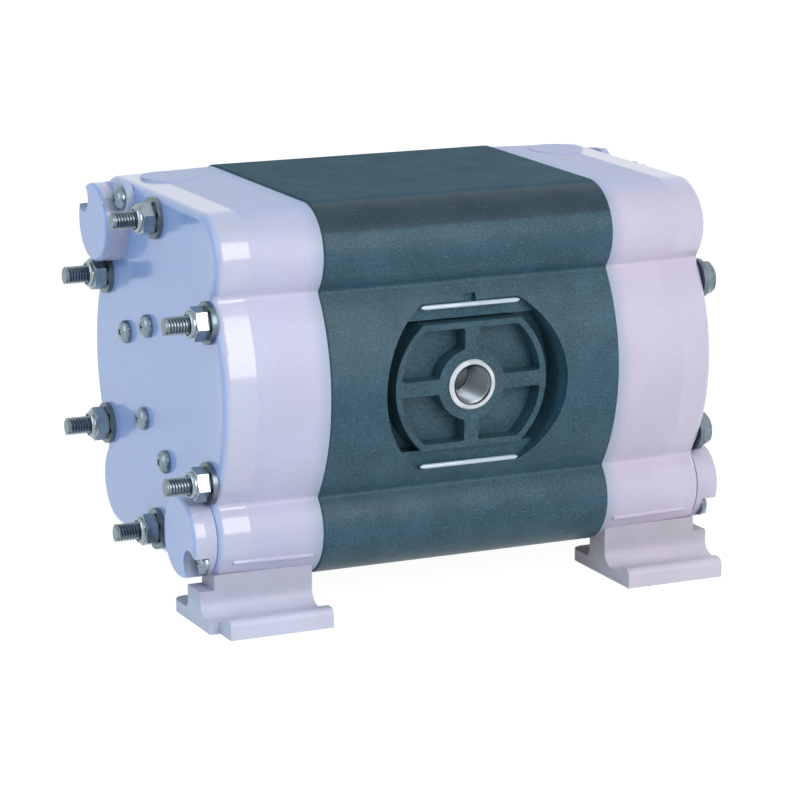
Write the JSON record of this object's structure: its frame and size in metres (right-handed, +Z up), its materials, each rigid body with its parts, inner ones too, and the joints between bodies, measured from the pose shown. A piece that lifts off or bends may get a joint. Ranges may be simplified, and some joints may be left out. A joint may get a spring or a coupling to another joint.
{
  "type": "air operated diaphragm pump",
  "caption": "Compact air operated double diaphragm pump: dark centre housing between two milky end caps held by tie bolts, on low feet.",
  "frame": {"origin": "on the floor plane, under the middle of the bounding box", "axes": "+X along the pump axis towards the end with the fluid ports, -Y towards the front with the air inlet, +Z up"},
  "size_m": [0.2016, 0.132, 0.1356],
  "materials": {
    "dark_polypropylene": "fine-grained moulded",
    "white_polypropylene": "semi-gloss, milky",
    "stainless": "plain",
    "nickel_plated": "turned, plated",
    "machined_steel": "ground",
    "aluminium_plate": "turned",
    "outer_plate_plastic": "moulded",
    "rubber": "matt",
    "bronze": "sintered",
    "valve_aluminium": "bored",
    "felt": "pressed felt",
    "valve_plastic": "moulded",
    "ball_ptfe": "polished"
  },
  "bodies": {
    "housing": {"air_inlet_bush": "nickel_plated", "air_inlet_insert": "dark_polypropylene", "air_inlet_seal": "rubber", "centre_body": "dark_polypropylene", "discharge_blank": "white_polypropylene", "discharge_port": "white_polypropylene", "exhaust_cover": "dark_polypropylene", "exhaust_felt": "felt", "exhaust_seal": "rubber", "foot_screws": "stainless", "head_washers": "stainless", "left_cap": "white_polypropylene", "left_cap_screws": "stainless", "left_diaphragm": "rubber", "left_discharge_cage": "valve_plastic", "left_discharge_seat": "valve_plastic", "left_front_foot": "white_polypropylene", "left_port_screws": "stainless", "left_suction_cage": "valve_plastic", "left_suction_seat": "valve_plastic", "manifold_seals": "rubber", "nut_washers": "stainless", "port_seals": "rubber", "rear_foot": "white_polypropylene", "right_cap": "white_polypropylene", "right_cap_screws": "stainless", "right_diaphragm": "rubber", "right_discharge_cage": "valve_plastic", "right_discharge_seat": "valve_plastic", "right_front_foot": "white_polypropylene", "right_port_screws": "stainless", "right_suction_cage": "valve_plastic", "right_suction_seat": "valve_plastic", "shaft_bushes": "bronze", "shaft_seals": "rubber", "sleeve_seals": "rubber", "suction_blank": "white_polypropylene", "suction_port": "white_polypropylene", "tie_bolt_nuts": "stainless", "tie_bolts": "stainless", "valve_end_plates": "machined_steel", "valve_plugs": "white_polypropylene", "valve_sleeve": "valve_aluminium"},
    "shuttle": {"diaphragm_shaft": "machined_steel", "left_inner_plate": "aluminium_plate", "right_inner_plate": "aluminium_plate", "left_outer_plate": "outer_plate_plastic", "right_outer_plate": "outer_plate_plastic"},
    "spool": {"valve_spool": "machined_steel", "spool_seals": "rubber"},
    "pilot": {"pilot_pin": "machined_steel"},
    "left_suction_ball_body": {"left_suction_ball": "ball_ptfe"},
    "left_discharge_ball_body": {"left_discharge_ball": "ball_ptfe"},
    "right_suction_ball_body": {"right_suction_ball": "ball_ptfe"},
    "right_discharge_ball_body": {"right_discharge_ball": "ball_ptfe"}
  },
  "joints": [
    {"name": "shuttle_slide", "type": "slide", "parent": "housing", "child": "shuttle", "axis": [1, 0, 0], "range_m": [-0.007, 0.007], "deforming": ["left_diaphragm", "right_diaphragm"]},
    {"name": "pilot_slide", "type": "slide", "parent": "housing", "child": "pilot", "axis": [1, 0, 0], "range_m": [-0.0028, 0.0028]},
    {"name": "spool_slide", "type": "slide", "parent": "housing", "child": "spool", "axis": [1, 0, 0], "range_m": [-0.004, 0.004]},
    {"name": "left_suction_ball_lift", "type": "slide", "parent": "housing", "child": "left_suction_ball_body", "axis": [0, 0, 1], "range_m": [0, 0.0035]},
    {"name": "left_discharge_ball_lift", "type": "slide", "parent": "housing", "child": "left_discharge_ball_body", "axis": [0, 0, 1], "range_m": [0, 0.0035]},
    {"name": "right_suction_ball_lift", "type": "slide", "parent": "housing", "child": "right_suction_ball_body", "axis": [0, 0, 1], "range_m": [0, 0.0035]},
    {"name": "right_discharge_ball_lift", "type": "slide", "parent": "housing", "child": "right_discharge_ball_body", "axis": [0, 0, 1], "range_m": [0, 0.0035]}
  ],
  "couplings": [
    {"joint": "pilot_slide", "follows": "shuttle_slide", "ratio": 0.4}
  ]
}
